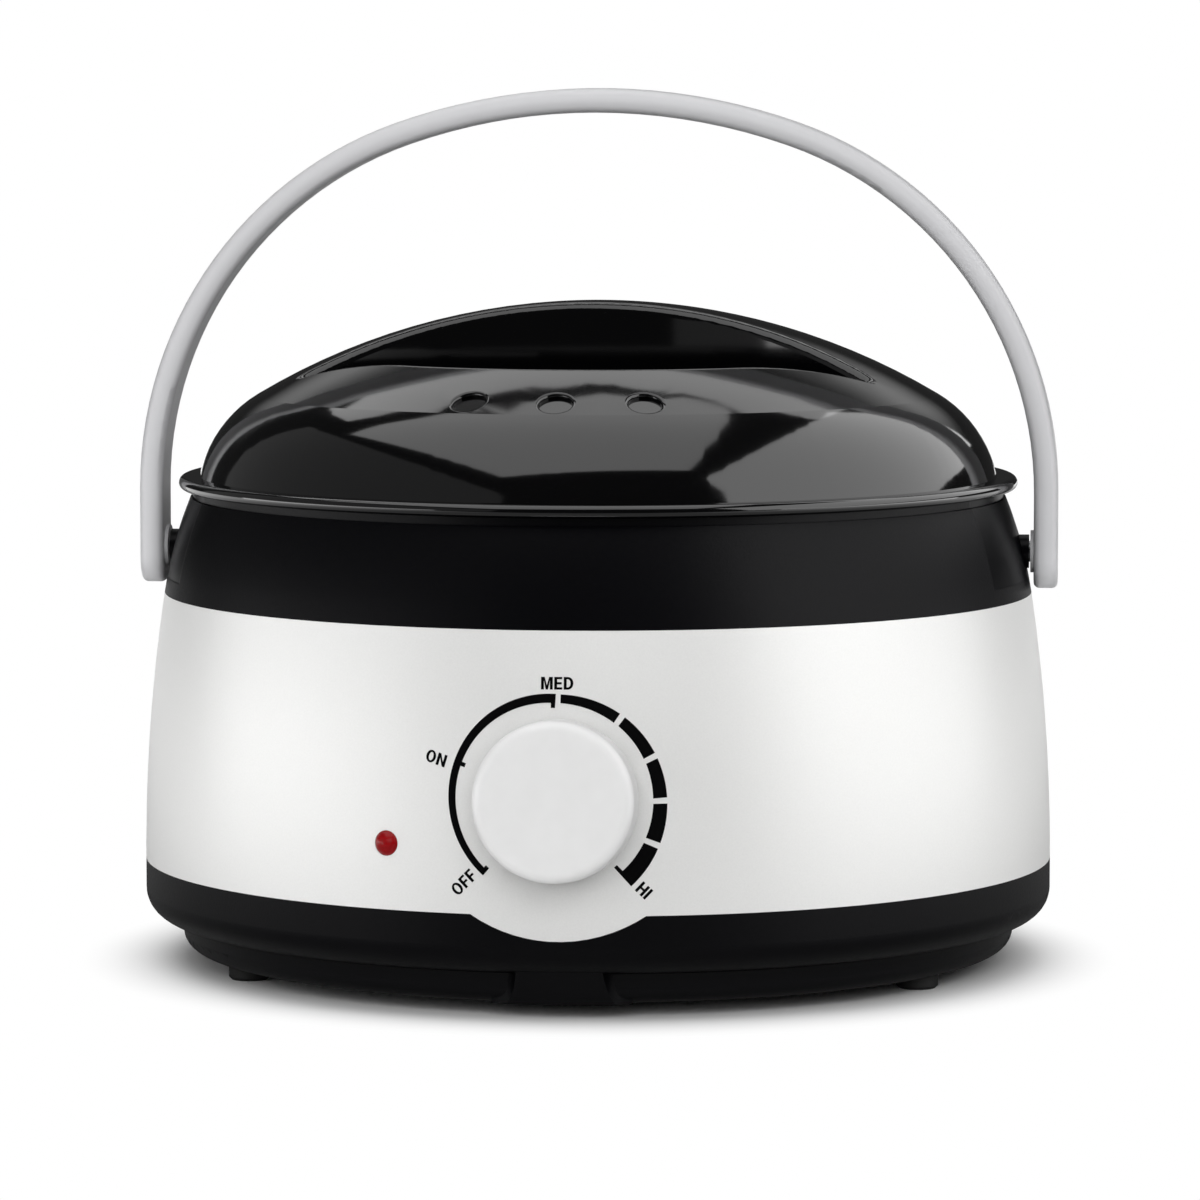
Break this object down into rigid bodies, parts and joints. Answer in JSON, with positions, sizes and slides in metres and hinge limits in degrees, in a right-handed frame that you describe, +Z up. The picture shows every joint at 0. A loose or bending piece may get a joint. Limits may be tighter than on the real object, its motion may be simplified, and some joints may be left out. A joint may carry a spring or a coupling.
{
  "type": "electric wax warmer",
  "caption": "Round electric warmer with a removable pot, domed lift-off lid with a sunk finger grip, turning heat dial, indicator lamp and a swinging carrying bail.",
  "frame": {"origin": "on the table, under the middle of the round body", "axes": "+Z up along the pot's axis, -Y out of the dial, +Y out of the cord inlet, +X to the right of the dial"},
  "size_m": [0.1924, 0.2154, 0.1822],
  "materials": {
    "pearl_white": "pearl white, satin sheen",
    "satin_black": "fine-textured black moulding",
    "gloss_black": "polished black moulding",
    "bail_grey": "satin light grey",
    "knob_white": "smooth white",
    "lens_red": "clear red",
    "foot_rubber": "black rubber",
    "gland_rubber": "black flexible moulding",
    "pot_aluminium": "spun, bright",
    "spun_aluminium": "spun",
    "heater_mica": "mica-faced steel",
    "shield_steel": "zinc plated sheet",
    "strap_steel": "spring steel",
    "pin_steel": "turned steel",
    "screw_steel": "zinc plated",
    "fuse_tin": "tinned case",
    "brass": "bright brass",
    "ceramic": "white ceramic",
    "terminal_nylon": "natural nylon",
    "shaft_plastic": "moulded shaft",
    "lamp_glass": "neon lamp"
  },
  "bodies": {
    "base": {"body_shell": "pearl_white", "base_pan": "satin_black", "shoulder_ring": "satin_black", "foot_left": "foot_rubber", "foot_right": "foot_rubber", "foot_rear": "foot_rubber", "pivot_pin_left": "pin_steel", "pivot_pin_right": "pin_steel", "base_screws": "screw_steel", "heating_well": "spun_aluminium", "heater_band": "heater_mica", "heater_clamp": "strap_steel", "clamp_screw": "screw_steel", "thermal_fuse": "fuse_tin", "fuse_clip": "strap_steel", "heat_shield": "shield_steel", "thermostat_bushing": "brass", "thermostat_nut": "brass", "thermostat_bracket": "strap_steel", "contact_blades": "brass", "thermostat_body": "ceramic", "indicator_lens": "lens_red", "lens_clip": "strap_steel", "indicator_lamp": "lamp_glass", "terminal_block": "terminal_nylon", "terminal_screws": "screw_steel", "cord_gland": "gland_rubber"},
    "lid": {"lid": "gloss_black"},
    "pot": {"inner_pot": "pot_aluminium"},
    "bail": {"bail": "bail_grey"},
    "knob": {"control_knob": "knob_white", "control_shaft": "shaft_plastic"}
  },
  "joints": [
    {"name": "lid_draw", "type": "slide", "parent": "base", "child": "lid", "axis": [0, 0.8384, 0.545], "range_m": [0, 0.23]},
    {"name": "pot_lift", "type": "slide", "parent": "base", "child": "pot", "axis": [0, 0, 1], "range_m": [0, 0.018]},
    {"name": "bail_swing", "type": "hinge", "parent": "base", "child": "bail", "pos_m": [0, 0, 0.086], "axis": [1, 0, 0], "range_deg": [-90, 90]},
    {"name": "knob_turn", "type": "hinge", "parent": "base", "child": "knob", "pos_m": [0, -0.09431, 0.0444], "axis": [0, 0.9945, -0.1045], "range_deg": [0, 270]}
  ]
}
